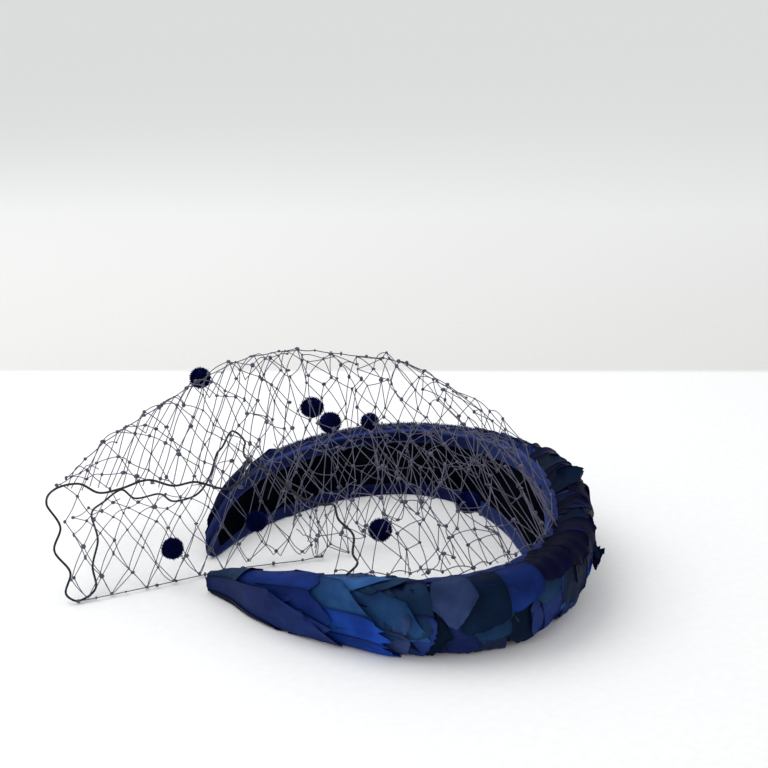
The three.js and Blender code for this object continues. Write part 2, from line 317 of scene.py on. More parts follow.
def ramp(tree, fac, stops):
    node = addNode(tree, "ShaderNodeValToRGB", [(0, fac)])
    elements = node.color_ramp.elements
    elements[0].position, elements[0].color = stops[0][0], toLinear(stops[0][1])
    elements[1].position, elements[1].color = stops[-1][0], toLinear(stops[-1][1])
    for place, colour in stops[1:-1]:
        elements.new(place).color = toLinear(colour)
    return node


def perMetre(size):
    # noise scale on Object coordinates, which are in metres, for patches of that many millimetres
    return 1000 / size


def bandScale(spacing):
    # wave scale on a map in millimetres for bands that far apart: at scale 1 they repeat every tenth of pi
    return math.pi / 10 / spacing


def velvetMaterial(name, dark, light, edge, sheen):
    # cotton velvet: short upright pile, dark seen straight on, with a painted sheen: the edge colour is mixed
    # into the base colour where the surface turns away from view; it is brushed in patches of about 14 mm,
    # and its pile makes a grain of 0.67 mm
    material, tree, shader = newMaterial(name)
    place = addNode(tree, "ShaderNodeTexCoord").outputs["Object"]
    brushed = addNode(tree, "ShaderNodeTexNoise", [("Vector", place)], in_Scale=perMetre(14.286),
                      in_Detail=3.0, in_Roughness=0.6)
    pile = addNode(tree, "ShaderNodeTexNoise", [("Vector", place)], in_Scale=perMetre(0.66667), in_Detail=2.0)
    shade = ramp(tree, brushed.outputs["Fac"], [(0.32, dark), (0.72, light)])
    # painted sheen: the Layer Weight facing mixes the edge colour into the base colour
    facing = addNode(tree, "ShaderNodeLayerWeight", in_Blend=0.35)
    withPaintedSheen = addNode(tree, "ShaderNodeMix", [("Factor", facing.outputs["Facing"]), (6, shade.outputs[0])],
                     data_type="RGBA", in_7=toLinear(edge))
    speckle = addNode(tree, "ShaderNodeMix", [("Factor", pile.outputs["Fac"]), (6, withPaintedSheen.outputs[2])],
                      data_type="RGBA", blend_type="MULTIPLY", in_7=toLinear("#8f93a8"))
    bump = addNode(tree, "ShaderNodeBump", [("Height", pile.outputs["Fac"])],
                   in_Strength=0.5, in_Distance=0.0004)
    tree.links.new(speckle.outputs[2], shader.inputs["Base Color"])
    tree.links.new(bump.outputs[0], shader.inputs["Normal"])
    shader.inputs["Roughness"].default_value = 0.9
    shader.inputs["Specular IOR Level"].default_value = 0.0
    shader.inputs["Sheen Weight"].default_value = sheen
    shader.inputs["Sheen Roughness"].default_value = 0.35
    shader.inputs["Sheen Tint"].default_value = toLinear("#6f86d8")
    return material


def featherMaterial():
    # dyed goose feather: barbs make fine slanting lines. Real ones are about 0.35 mm apart and are drawn
    # 0.7 mm apart, as coarse as they need to show; they clump every 2.9 mm, and the dye is patchy over 9 mm
    material, tree, shader = newMaterial("dyed_goose_feather")
    tint = addNode(tree, "ShaderNodeAttribute", attribute_name="tint")
    uv = addNode(tree, "ShaderNodeUVMap", uv_map="UVMap")
    place = addNode(tree, "ShaderNodeTexCoord").outputs["Object"]
    barbs = addNode(tree, "ShaderNodeTexWave", [("Vector", uv.outputs[0])], wave_type="BANDS",
                    bands_direction="X", in_Scale=bandScale(0.698), in_Distortion=1.2, in_Detail=2.0,
                    in_Detail_Scale=0.6)
    clump = addNode(tree, "ShaderNodeTexNoise", [("Vector", uv.outputs[0])],
                    in_Scale=1 / 2.857, in_Detail=3.0)
    dye = addNode(tree, "ShaderNodeTexNoise", [("Vector", place)], in_Scale=perMetre(9.091), in_Detail=2.0)
    lines = ramp(tree, barbs.outputs["Fac"], [(0.0, "#c9c9cf"), (1.0, "#ffffff")])
    lined = addNode(tree, "ShaderNodeMix", [(6, tint.outputs["Color"]), (7, lines.outputs[0])],
                    data_type="RGBA", blend_type="MULTIPLY", in_0=1.0)
    patches = ramp(tree, dye.outputs["Fac"], [(0.3, "#a4a9b8"), (0.7, "#ffffff")])
    dyed = addNode(tree, "ShaderNodeMix", [(6, lined.outputs[2]), (7, patches.outputs[0])],
                   data_type="RGBA", blend_type="MULTIPLY", in_0=0.8)
    height = addNode(tree, "ShaderNodeMath", [(0, barbs.outputs["Fac"]), (1, clump.outputs["Fac"])],
                     operation="ADD")
    bump = addNode(tree, "ShaderNodeBump", [("Height", height.outputs[0])],
                   in_Strength=0.28, in_Distance=0.0003)
    tree.links.new(dyed.outputs[2], shader.inputs["Base Color"])
    tree.links.new(bump.outputs[0], shader.inputs["Normal"])
    shader.inputs["Roughness"].default_value = 0.46
    shader.inputs["Specular IOR Level"].default_value = 0.03
    return material


def threadMaterial(name, dark, light, roughness, sheen):
    # twisted rayon: a soft dull line, uneven in tone every 4 mm, with a faint twist every 0.4 mm
    material, tree, shader = newMaterial(name)
    place = addNode(tree, "ShaderNodeTexCoord").outputs["Object"]
    wear = addNode(tree, "ShaderNodeTexNoise", [("Vector", place)], in_Scale=perMetre(4.1667), in_Detail=2.0)
    twist = addNode(tree, "ShaderNodeTexNoise", [("Vector", place)],
                    in_Scale=perMetre(0.38462), in_Detail=1.0)
    shade = ramp(tree, wear.outputs["Fac"], [(0.3, dark), (0.7, light)])
    bump = addNode(tree, "ShaderNodeBump", [("Height", twist.outputs["Fac"])],
                   in_Strength=0.4, in_Distance=0.0002)
    tree.links.new(shade.outputs[0], shader.inputs["Base Color"])
    tree.links.new(bump.outputs[0], shader.inputs["Normal"])
    shader.inputs["Roughness"].default_value = roughness
    shader.inputs["Sheen Weight"].default_value = sheen
    shader.inputs["Sheen Roughness"].default_value = 0.4
    return material


def liningMaterial():
    # plain woven lining, nearly black and dull: real threads are about 0.45 mm apart and are drawn 0.9 mm
    # apart, as coarse as they need to show, with a tone that drifts over 25 mm
    material, tree, shader = newMaterial("plain_weave_lining")
    uv = addNode(tree, "ShaderNodeUVMap", uv_map="UVMap")
    place = addNode(tree, "ShaderNodeTexCoord").outputs["Object"]
    warp, weft = [addNode(tree, "ShaderNodeTexWave", [("Vector", uv.outputs[0])], bands_direction=way,
                          in_Scale=bandScale(0.8976)) for way in "XY"]
    weave = addNode(tree, "ShaderNodeMath", [(0, warp.outputs["Fac"]), (1, weft.outputs["Fac"])],
                    operation="MULTIPLY")
    tone = addNode(tree, "ShaderNodeTexNoise", [("Vector", place)], in_Scale=perMetre(25), in_Detail=2.0)
    shade = ramp(tree, tone.outputs["Fac"], [(0.35, "#03040c"), (0.68, "#080c10")])
    bump = addNode(tree, "ShaderNodeBump", [("Height", weave.outputs[0])],
                   in_Strength=0.35, in_Distance=0.0003)
    tree.links.new(shade.outputs[0], shader.inputs["Base Color"])
    tree.links.new(bump.outputs[0], shader.inputs["Normal"])
    shader.inputs["Roughness"].default_value = 0.95
    shader.inputs["Specular IOR Level"].default_value = 0.0
    return material


# the third colour of each velvet is its painted sheen, mixed in where the surface turns away from view
materials = {
    "rim": velvetMaterial("cotton_velvet_band", "#070b28", "#121a46", "#5263a4", 0.03),
    "pad": velvetMaterial("cotton_velvet_padding", "#060a28", "#111a4a", "#4a5996", 0.03),
    "lining": liningMaterial(),
    "feather": featherMaterial(),
    "net": threadMaterial("veiling_thread", "#38384a", "#525268", 0.6, 0.03),
    "cord": threadMaterial("veil_edge_cord", "#08080d", "#13131a", 0.8, 0.02),
    "chenille": velvetMaterial("chenille_pile", "#050a34", "#0d1650", "#1a2560", 0.04),
}
print("materials ready")


# velvet covered band with its two rims, in millimetres and shares
velvetBand = {
    "rows": 320,
    "corner": 0.9,
    "cornerShare": 0.3,
    "pucker": 0.22,
    "rimBulge": 0.12,
    "stepSlope": 0.5,
    "tipRound": 0.028,
}


def columnsOf(s):
    # the section's values as columns, one row for each share along the band
    return {k: v[:, None] for k, v in s.items()}


def stepDepth(s):
    # how far the inner face steps back between the rims
    return np.minimum(band["liningDepth"], s["core"] * band["liningShare"])


def makeCore():
    # a rounded strip whose inner face steps back between the rims, which pucker a little along their length
    rows = velvetBand["rows"]
    along = np.linspace(-1, 1, rows)[:, None]
    s = columnsOf(section(along[:, 0]))
    rim = s["height"] * band["rimShare"]
    depth = stepDepth(s)
    r = np.minimum(velvetBand["corner"], s["core"] * velvetBand["cornerShare"])
    arc = np.linspace(0, math.pi / 2, 5)[None, :]
    pucker = velvetBand["pucker"] * smoothNoise(rows, 60, 8, 3)[:, None]
    bulge = rim * velvetBand["rimBulge"]
    slope = velvetBand["stepSlope"]

    def corner(out, up, startAngle):
        return (out + r * np.cos(startAngle + arc), up + r * np.sin(startAngle + arc))

    parts = [
        corner(s["core"] - r, r, -math.pi / 2),
        corner(s["core"] - r, s["height"] - r, 0),
        corner(r, s["height"] - r + pucker, math.pi / 2),
        (-bulge, s["height"] - rim * 0.5),
        (0 * rim, s["height"] - rim),
        (depth, s["height"] - rim - slope),
        (depth, rim + slope),
        (0 * rim, rim),
        (-bulge, rim * 0.5),
        corner(r, r, math.pi),
    ]
    out = np.concatenate([p[0] for p in parts], 1)
    up = np.maximum(np.concatenate([p[1] for p in parts], 1), 0)
    # the last few millimetres shrink round the section's middle on a quarter circle
    blunt = np.clip((1 - np.abs(along)) / velvetBand["tipRound"], 0.04, 1)
    tip = np.sqrt(1 - (1 - blunt) ** 2)
    out = s["core"] / 2 + (out - s["core"] / 2) * tip
    up = s["height"] / 2 + (up - s["height"] / 2) * tip
    points, faces = loft(bandPoint(s, out, up))
    return makeMesh("velvet_core", points, outward(points, faces), materials["rim"])


velvetCore = makeCore()
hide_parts("velvet_band")


# lining between the rims, in millimetres and shares
lining = {
    "rows": 260,
    "columns": 9,
    "end": 0.95,
    "margin": 0.7,
    "back": 0.15,
    "front": 0.45,
    "pucker": 0.18,
    "thinnest": 0.25,
    "mapLength": 380,
}


def makeLining():
    # a thin strip a little back from the rims, with shallow lengthwise puckers
    rows, columns = lining["rows"], lining["columns"]
    along = np.linspace(-lining["end"], lining["end"], rows)
    s = columnsOf(section(along))
    share = np.linspace(0, 1, columns)[None, :]
    low = s["height"] * band["rimShare"] + lining["margin"]
    high = s["height"] * (1 - band["rimShare"]) - lining["margin"]
    depth = stepDepth(s) - lining["back"]
    up = low + (high - low) * share
    wave = lining["pucker"] * smoothNoise(rows, 34, 7, 5)[:, None] * np.sin(math.pi * share)
    front = np.clip(lining["front"] + wave, 0.1, depth - lining["thinnest"]) + 0 * up
    back = depth + 0 * up
    out = np.concatenate([front, back[:, ::-1]], 1)
    ups = np.concatenate([up, up[:, ::-1]], 1)
    points, faces = loft(bandPoint(s, out, ups))
    lengthwise = np.repeat(np.linspace(0, lining["mapLength"], rows), 2 * columns)
    uv = np.stack([lengthwise, ups.ravel()], -1)
    uv = np.concatenate([uv, [[0, 0], [lining["mapLength"], 0]]])
    return makeMesh("lining_strip", points, outward(points, faces), materials["lining"], uv=uv)


liningStrip = makeLining()
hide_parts("inner_lining")


# velvet padding under the feathers
padding = {
    "rows": 420,
    "columns": 48,
    "gather": 0.45,
    "lump": 0.35,
    "tuck": 0.12,
}


def makePad():
    # the pad's section, swollen between gathers that run in from its upper seam, with a few soft lumps
    rows, columns = padding["rows"], padding["columns"]
    along = np.linspace(band["padFrom"], band["padTo"], rows)
    s = columnsOf(section(along))
    thick = padThick(s, along[:, None])
    girth = np.linspace(0, 1, columns)[None, :]
    out = between(padProfile, "out", girth, "at") * thick
    up = between(padProfile, "up", girth, "at") * s["height"]
    gather = smoothNoise(rows, 75, 9, 8)[:, None] * np.clip((girth - 0.72) / 0.2, 0, 1) * (1 - girth) * 5
    lump = smoothNoise(rows, 26, 6, 9)[:, None] * np.sin(math.pi * np.clip(girth, 0, 1)) ** 2
    swell = padding["gather"] * gather + padding["lump"] * lump
    up = np.where(girth > 0.5, up + swell * padShare(along)[:, None], up)
    out = np.where(girth > 0.3, out - padding["tuck"] * np.abs(swell), out)
    points, faces = loft(bandPoint(s, s["core"] + gap + out, np.maximum(up, 0)))
    return makeMesh("padded_velvet", points, outward(points, faces), materials["pad"])


paddedVelvet = makePad()
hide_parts("padded_body")


# pile that stands up along the bare upper side of the padding, where it shows against the light
pile = {
    "blades": 9000,
    "from": -0.1,
    "girth": (0.66, 0.97),
    "length": (0.45, 0.85),
    "bend": 0.22,
    "radii": (0.1, 0.09, 0.03),
}


def makePile():
    # blades about 0.5 to 1 mm long that leave the surface along its normal, each bent its own way
    blades = pile["blades"]
    along = rng.uniform(pile["from"], band["padTo"] - 0.02, blades)
    girth = rng.uniform(*pile["girth"], blades)
    foot = coverPoint(along, girth, -0.1)
    way = coverPoint(along, girth, 1.0) - foot
    end = foot + way * rng.uniform(*pile["length"], (blades, 1)) + rng.normal(0, pile["bend"], (blades, 3))
    points, faces = tubes(np.stack([foot, (foot + end) / 2, end], 1), np.array([pile["radii"]]), 3)
    return makeMesh("velvet_pile", points, faces, materials["pad"])


velvetPile = makePile()
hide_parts("padded_body")
print("band ready")


# feathers
featherBlues = {
    "teal": "#1e3a5a",
    "deep": "#09113e",
    "navy": "#05082c",
    "royal": "#172f70",
    "bright": "#1d48a6",
    "sky": "#2e588c",
    "slate": "#35466f",
    "violet": "#253874",
    "ink": "#0a1f38",
}
# feathers of the near arm, listed one by one from its tip to the crown, then of the far tip: the root's
# shares
# along and round the band, length and half width in mm, turn down in degrees, free end from 0 blunt to
# 1 pointed, its slant and fray, its layer, how far it curls off and its colour
handFeathers = """
    along  girth length half turn point slant fray level curl colour
    -1.00  0.95  30  6.5  -4  0.5  0.0  0.2  1.5  0.0  teal
    -1.00  0.45  62  8.5   2  0.8  0.1  0.2  1.2  0.0  violet
    -0.99  0.12  58  7.5   2  0.7  0.1  0.2  1.0  0.0  deep
    -0.98  0.80  56  9.5  -1  0.6  0.0  0.2  1.1  0.0  royal
    -0.97  1.05  52  6.0   2  0.6  0.0  0.2  0.9  0.0  royal
    -0.86  0.38  44  9.0   4  0.7  0.1  0.2  0.9  0.3  violet
    -0.84  0.62  36  8.0   8  0.6  0.0  0.2  0.8  0.0  royal
    -0.80  1.02  46  9.0   6  0.7  0.0  0.3  0.8  0.0  sky
    -0.79  0.80  42  9.0  12  0.7  0.0  0.3  0.8  0.2  sky
    -0.76  0.50  40  9.5  12  0.1  0.1  2.6  0.7  0.3  bright
    -0.75  0.25  40  9.0   6  0.1  0.1  2.2  0.6  0.2  bright
    -0.70  1.05  30  8.0  14  0.6  0.0  0.3  0.6  0.0  teal
    -0.66  0.88  36  7.5  40  0.9  0.0  0.3  1.0  0.3  sky
    -0.65  0.62  24  8.5  30  0.4  0.0  0.5  0.0  0.0  deep
    -0.64  0.42  20  7.0  12  0.1  0.0  0.3  0.4  0.2  slate
    -0.62  1.05  24  8.0  40  0.4  0.0  0.3  0.0  0.0  deep
    -0.60  0.84  20  6.0  62  0.3  0.1  0.3  0.5  0.2  slate
    -0.56  1.05  28  8.5  84  0.1  0.0  0.4  0.5  0.2  teal
    -0.58  0.52  16  9.0  18  0.2  0.0  0.9  0.5  0.4  violet
    -0.53  0.64  18  9.0  86  0.9  0.0  0.2  0.3  0.2  ink
    -0.50  1.06  26  8.0  86  0.8  0.0  0.3  1.1  0.3  slate
    -0.50  0.50  15  8.0  60  0.3  0.1  0.3  0.2  0.2  violet
    -0.45  1.05  28  8.0  90  0.1  0.1  0.3  0.5  0.2  ink
    -0.44  0.70  16  7.0  88  0.2  0.0  0.3  0.3  0.2  teal
    -0.43  0.44  14  6.5  96  0.6  0.1  0.2  0.4  0.4  slate
    -0.40  1.05  24  8.5  92  0.3  0.1  0.3  0.5  0.2  royal
    -0.39  0.62  18  9.0  90  0.6  0.0  0.3  0.2  0.2  ink
    -0.36  0.90  18  6.5  96  0.5  0.0  0.2  0.4  0.3  teal
    -0.34  0.80  26  8.5 112  0.7  0.0  0.3  0.5  0.4  violet
    -0.35  1.08  20  9.0  82  0.3  0.0  0.5  0.6  0.1  navy
    -0.30  1.08  22  9.0  84  0.5  0.0  0.6  0.6  0.1  navy
    -0.29  0.84  22  9.0 100  0.4  0.0  0.4  0.4  0.3  ink
    -0.25  1.06  22  9.0  86  0.4  0.0  0.6  0.5  0.2  navy
    -0.22  0.72  12  1.5 100  1.0  0.0  1.5  0.5  1.8  ink
    -0.20  0.68  11  1.4 122  1.0  0.0  1.5  0.5  2.2  navy
    -0.23  0.66  10  1.2  84  1.0  0.0  1.5  0.5  1.5  navy
    -0.10  1.02  15  5.0  60  1.0  0.2  1.2  0.6  2.2  ink
     0.97  0.50  56  7.5 178  0.7  0.0  0.3  1.0  0.0  violet
     0.96  0.28  52  6.5 177  0.7  0.0  0.3  0.9  0.0  royal
     0.95  0.72  44  6.0 183  0.6  0.0  0.3  0.8  0.0  deep
     0.86  0.45  40  8.0 174  0.7  0.0  0.3  0.5  0.0  royal
     0.84  0.24  36  7.5 175  0.4  0.0  0.4  0.4  0.0  sky
     0.80  0.62  32  7.0 174  0.6  0.0  0.3  0.3  0.0  violet
"""

# shorter feathers: each row's share of the girth and where along the band it starts and ends
scaleFeathers = {
    "column": 0.05,
    "rows": ((1.04, -0.28, 0.12), (0.9, -0.6, 0.3), (0.76, -0.62, 0.66), (0.62, -0.62, 0.76),
             (0.48, -0.63, 0.78), (0.35, -0.6, 0.77)),
    "length": 18.0,
    "half": 7.6,
    "turn": 78.0,
    "leanTurns": 0.12,
    "handEnds": -0.3,
    "underHand": 0.6,
    "levelStep": 0.2,
    "outside": [0.18, 0.12, 0.04, 0.24, 0.02, 0.07, 0.12, 0.15, 0.06],
    "top": [0.0, 0.3, 0.55, 0.03, 0.0, 0.0, 0.0, 0.0, 0.12],
}

# every feather: its grid, how its free end is cut, and in millimetres its thickness and how it lies
feather = {
    "steps": 16,
    "wide": 17,
    "pointCut": 0.36,
    "slantCut": 0.5,
    "thick": 0.22,
    "rootLift": 0.35,
    "levelLift": 0.5,
    "edgeLift": 0.3,
    "tilt": 0.5,
    "shaft": 0.3,
}


def readHand():
    # the table above as one array for each column, and the colour names
    lines = [line.split() for line in handFeathers.split("\n") if line.strip()]
    values = np.array([line[:-1] for line in lines[1:]], float).T
    rows = dict(zip(lines[0][:-1], values))
    rows["rise"] = 0.8 + 0.9 * np.clip(rows["level"] / 0.6, 0, 1)
    rows["level"] += 0.9
    return rows, [line[-1] for line in lines[1:]]


def scaleRows():
    # rows of shorter feathers round the band, one row for each share of the girth, from near arm to far tip;
    # they point down over the next row, leaning to the crown, and every second row is half a feather on
    parts, colours = [], []
    names = list(featherBlues)
    for level, (girth, first, last) in enumerate(scaleFeathers["rows"]):
        along = np.arange(first + scaleFeathers["column"] / 2 * (level % 2), last, scaleFeathers["column"])
        count = len(along)
        lean = np.where(along < scaleFeathers["leanTurns"], 1, -1)
        steeper = 16 * np.clip((-along * lean - 0.3) / 0.2, 0, 1)
        turn = 90 - lean * (90 - scaleFeathers["turn"]) - lean * steeper
        under = (along < scaleFeathers["handEnds"]) * scaleFeathers["underHand"]
        # they lie flatter towards the crown
        flat = np.clip(1.4 - np.abs(along) / 0.35, 0, 1)
        parts.append({
            "along": along + rng.normal(0, 0.007, count),
            "girth": girth + rng.normal(0, 0.015, count),
            "length": scaleFeathers["length"] * rng.uniform(0.85, 1.15, count),
            "half": scaleFeathers["half"] * rng.uniform(0.8, 1.15, count),
            "turn": turn + rng.normal(0, 11, count),
            "point": rng.choice([0.05, 0.2, 0.7, 1.0], count),
            "slant": rng.normal(0, 0.15, count),
            "fray": rng.uniform(0.1, 0.7, count),
            "level": scaleFeathers["levelStep"] * (5 - level) * (1 - 0.5 * flat) - under,
            "curl": rng.uniform(0, 0.9, count) * (under == 0) * (1 - 0.8 * flat),
            "rise": np.where(under == 0, 1.7 - 0.6 * flat, 0.4),
        })
        dark = (girth > 0.85) | (np.abs(along + 0.05) < 0.12)
        pick = np.where(dark, rng.choice(len(names), count, p=scaleFeathers["top"]),
                        rng.choice(len(names), count, p=scaleFeathers["outside"]))
        colours += [names[i] for i in pick]
    return {k: np.concatenate([part[k] for part in parts]) for k in parts[0]}, colours


# length of the padding's outside from its lower to its upper edge, at every share along the band
girthAlong = np.linspace(-1, 1, 121)
girthGrid = coverPoint(girthAlong[:, None], np.linspace(0.1, 1, 46)[None, :], 1.0)
girthLength = np.linalg.norm(np.diff(girthGrid, axis=1), axis=-1).sum(1) / 0.9


def layFeathers(rows, colours, name):
    # a feather is a grid: share t from root to free end and share w from edge to edge.
    # forward = length t, cut short towards the edges of the free end; sideways = half width times w times an
    # outline that swells from the root; it lies on the pad at a height that grows with t and curls at the end
    steps, wide = feather["steps"], feather["wide"]
    count = len(rows["along"])
    t = np.linspace(0, 1, steps)[None, :, None]
    w = np.linspace(-1, 1, wide)[None, None, :]
    col = {k: v[:, None, None] for k, v in rows.items()}
    own = np.random.default_rng(21)
    jag = own.normal(0, 0.8, (count, 1, wide))
    outline = np.minimum(1, 0.42 + 1.15 * t - 0.55 * t**2)
    narrow = 1 - col["point"] * 0.35 * np.clip((t - 0.75) / 0.25, 0, 1) ** 2
    sideways = col["half"] * w * outline * narrow
    cut = (1 - feather["pointCut"] * col["point"] * np.abs(w) ** 1.3 - col["slant"] * w * feather["slantCut"]
           + 0.03 * col["fray"] * jag - 0.05 * np.abs(w) ** 6)
    forward = col["length"] * t * (1 + (cut - 1) * t**2)
    turn = np.radians(col["turn"]) + 0.05 * t * own.normal(0, 1, (count, 1, 1))
    x = forward * np.cos(turn) + sideways * np.sin(turn)
    y = -forward * np.sin(turn) + sideways * np.cos(turn)
    # millimetres to shares of the band's length, measured at each root, and of its girth, at each point
    d = 0.01
    rootAlong, rootGirth = np.clip(rows["along"], -0.98, 0.98), np.clip(rows["girth"], 0.1, 0.9)
    apart = coverPoint(rootAlong + d, rootGirth, 2) - coverPoint(rootAlong - d, rootGirth, 2)
    mmAlong = np.linalg.norm(apart, axis=-1) / (2 * d)
    along = col["along"] + x / mmAlong[:, None, None]
    mmGirth = np.interp(along, girthAlong, girthLength)
    girth = col["girth"] + y / mmGirth
    tilt = feather["tilt"] + 0.2 * own.normal(0, 1, (count, 1, 1))
    lift = (feather["rootLift"] + col["level"] * feather["levelLift"] + col["rise"] * t
            + 0.35 * t**5 * (0.4 + col["fray"]) + col["curl"] * t**3
            + feather["edgeLift"] * np.abs(w) ** 3 + w * tilt)
    shaft = feather["shaft"] * np.exp(-(w * 9) ** 2) * (1 - t)
    wave = 0.16 * np.sin(9 * w + own.uniform(0, 6, (count, 1, 1))) * t + 0.14 * jag * t**3
    over = np.clip(girth, 0.09, 0.95)
    spill = (girth - over) * mmGirth
    top = coverPoint(along, over, lift + shaft + wave)
    # what runs past the lower or upper edge goes on straight
    down = coverPoint(along, over, lift) - coverPoint(along, np.clip(over + 0.02, 0, 1), lift)
    down /= np.linalg.norm(down, axis=-1, keepdims=True) + 1e-9
    top = top - down * spill[..., None]
    bottom = coverPoint(along, over, lift + shaft + wave - feather["thick"]) - down * spill[..., None]
    top[..., 2] = np.maximum(top[..., 2], 0.5)
    bottom[..., 2] = np.maximum(bottom[..., 2], 0.3)
    points = np.stack([top, bottom], 1).reshape(-1, 3)
    one = gridFaces(steps, wide)
    size = steps * wide
    numbers = np.arange(size).reshape(steps, wide)
    border = np.concatenate([numbers[0], numbers[1:, -1], numbers[-1, -2::-1], numbers[-2:0:-1, 0]])
    follow = np.roll(border, -1)
    edge = np.stack([border, border + size, follow + size, follow], -1)
    faces = [copied(np.concatenate([one[:, ::-1], one + size, edge]), count, 2 * size)]
    base = np.array([toLinear(featherBlues[c])[:3] for c in colours])
    base = base * own.uniform(0.8, 1.25, (count, 1))
    # painted highlight: each feather's tint grows lighter towards its free end; it is also a little darker at
    # its side edges
    paintedHighlight = (0.78 + 0.6 * t**3 + 0 * w) * (1 - 0.3 * np.abs(w) ** 4)
    tint = base[:, None, None, None, :] * paintedHighlight[:, None, :, :, None] * np.ones((count, 2, 1, 1, 1))
    # barbs leave the shaft at an angle, so the first map direction runs forward and out
    u = forward - np.abs(sideways) * 0.9
    uv = np.stack([np.stack([u, sideways], -1)] * 2, 1)
    return makeMesh(name, points, outward(points, faces), materials["feather"],
                    tint=tint.reshape(-1, 3), uv=uv.reshape(-1, 2))


nearFeathers = layFeathers(*readHand(), "long_feathers")
scales, scaleColours = scaleRows()
bandFeathers = layFeathers(scales, scaleColours, "band_feathers")
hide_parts("feather_cover")
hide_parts("feather_cover")
print("feathers ready:", len(scaleColours), "scales")


# the veil: ribs across it, from its open end to the crown
veilRibs = table("x lean backY backZ foldY foldZ ridgeY ridgeZ frontY frontZ", [
    (-54, -4, 38, 16, -16, 1.2, 0, 42, -9, 45), (-38, -2, 50, 15, -12, 1.2, 5, 57, -20, 49),
    (-20, 0, 52, 14, -7, 1.2, 9, 68, -26, 51), (0, 0, 50, 21, -1, 1.2, 14, 78, -28, 49),
    (18, 0, 46, 40, 2, 1.2, 19, 84, -30, 45), (40, 0, 56, 30, 4, 1.2, 25, 84, -57, 24.6),
    (62, 0, 74, 28.8, 8, 5, 30, 79, -69.5, 27.3), (86, 0, 76, 29.6, 12, 14, 30, 74, -73, 28.8),
    (109, 0, 67, 31, 12, 25, 22, 60, -65, 30.4), (123, 0, 50, 32.4, 8, 35, 8, 48, -49, 32),
    (130, 0, 28, 35, 3, 37, 0, 38.5, -28, 35),
])
veilRibs["along"] = np.linspace(0, 1, len(veilRibs["x"]))
veil = {
    "backBelly": 9.0,
    "wallBelly": 7.0,
    "frontBelly": 10.0,
    "cellAlong": 10.7,
    "cellAcross": 20.5,
    "gather": 0.2,
    "narrow": 0.16,
    "thread": 0.18,
    "knot": 0.66,
    "lowestThread": 0.5,
    "lowestKnot": 1.2,
    "cord": 0.44,
    "hemThread": 0.2,
    "hemKnots": 9.6,
    "netSpan": (-54, 134),
    "netEnd": 130,
}


def veilPoint(u, v):
    # seven points of the rib at u, which are far edge, belly, fold, wall, ridge, belly and near edge, then a
    # cubic through them at v, with slopes from the neighbouring points
    u, v = np.broadcast_arrays(np.clip(u, 0, 1), np.clip(v, 0, 1))
    value = {k: between(veilRibs, k, u) for k in veilRibs if k != "along"}
    close = 1 - np.clip((u - 0.75) / 0.25, 0, 1)
    openEnd = np.clip(u / 0.25, 0, 1)
    back, fold, ridge, front = [
        np.stack([value["x"] + value["lean"] * leans, value[line + "Y"], value[line + "Z"]])
        for line, leans in (("back", 0), ("fold", 0), ("ridge", 1), ("front", 1))]
    zero = 0 * close
    rib = np.stack([
        back, (back + fold) / 2 + np.stack([zero, zero, veil["backBelly"] * close]),
        fold, (fold + ridge) / 2 + np.stack([zero, veil["wallBelly"] * close, zero]),
        ridge, (ridge + front) / 2 + np.stack([zero, zero, veil["frontBelly"] * close * openEnd]),
        front,
    ])
    slope = np.empty_like(rib)
    slope[1:-1] = (rib[2:] - rib[:-2]) / 2
    slope[0], slope[-1] = rib[1] - rib[0], rib[-1] - rib[-2]
    i = np.clip((v * 6).astype(int), 0, 5)
    f = v * 6 - i

    def pick(values, index):
        return np.take_along_axis(values, np.broadcast_to(index, (1, 3) + index.shape), 0)[0]

    point = cubic(f, pick(rib, i), pick(rib, i + 1), pick(slope, i), pick(slope, i + 1))
    return np.moveaxis(point, 0, -1) + shift


# distance across the veil from its fold, at every share of both directions, to lay even net cells on it
uGrid = np.linspace(0, 1, 241)
vGrid = np.linspace(0, 1, 241)
sheetGrid = veilPoint(uGrid[:, None], vGrid[None, :])
stride = np.linalg.norm(np.diff(sheetGrid, axis=1), axis=-1)
reach = np.concatenate([np.zeros((len(uGrid), 1)), np.cumsum(stride, 1)], 1)
reach -= reach[:, len(vGrid) // 3][:, None]
xOfU = between(veilRibs, "x", uGrid)
wGrid = np.linspace(reach.min(), reach.max(), 400)
vOfW = np.stack([np.interp(wGrid, reach[i], vGrid, left=-1, right=2) for i in range(len(uGrid))])


def netShares(x, w):
    # shares along and across the veil of a point x mm along it and w mm across it from the fold
    u = np.interp(x, xOfU, uGrid)
    fu = np.clip(u * (len(uGrid) - 1), 0, len(uGrid) - 1.001)
    fw = np.clip((w - wGrid[0]) / (wGrid[1] - wGrid[0]), 0, len(wGrid) - 1.001)
    iu, iw = fu.astype(int), fw.astype(int)
    au, aw = fu - iu, fw - iw
    v = ((1 - au) * (1 - aw) * vOfW[iu, iw] + au * (1 - aw) * vOfW[iu + 1, iw]
         + (1 - au) * aw * vOfW[iu, iw + 1] + au * aw * vOfW[iu + 1, iw + 1])
    low = np.interp(u, uGrid, reach[:, 0])
    high = np.interp(u, uGrid, reach[:, -1])
    inside = (w >= low) & (w <= high)
    v = np.where(inside, np.clip(v, 0, 1), np.where(w < low, 0.0, 1.0))
    return u, v, inside


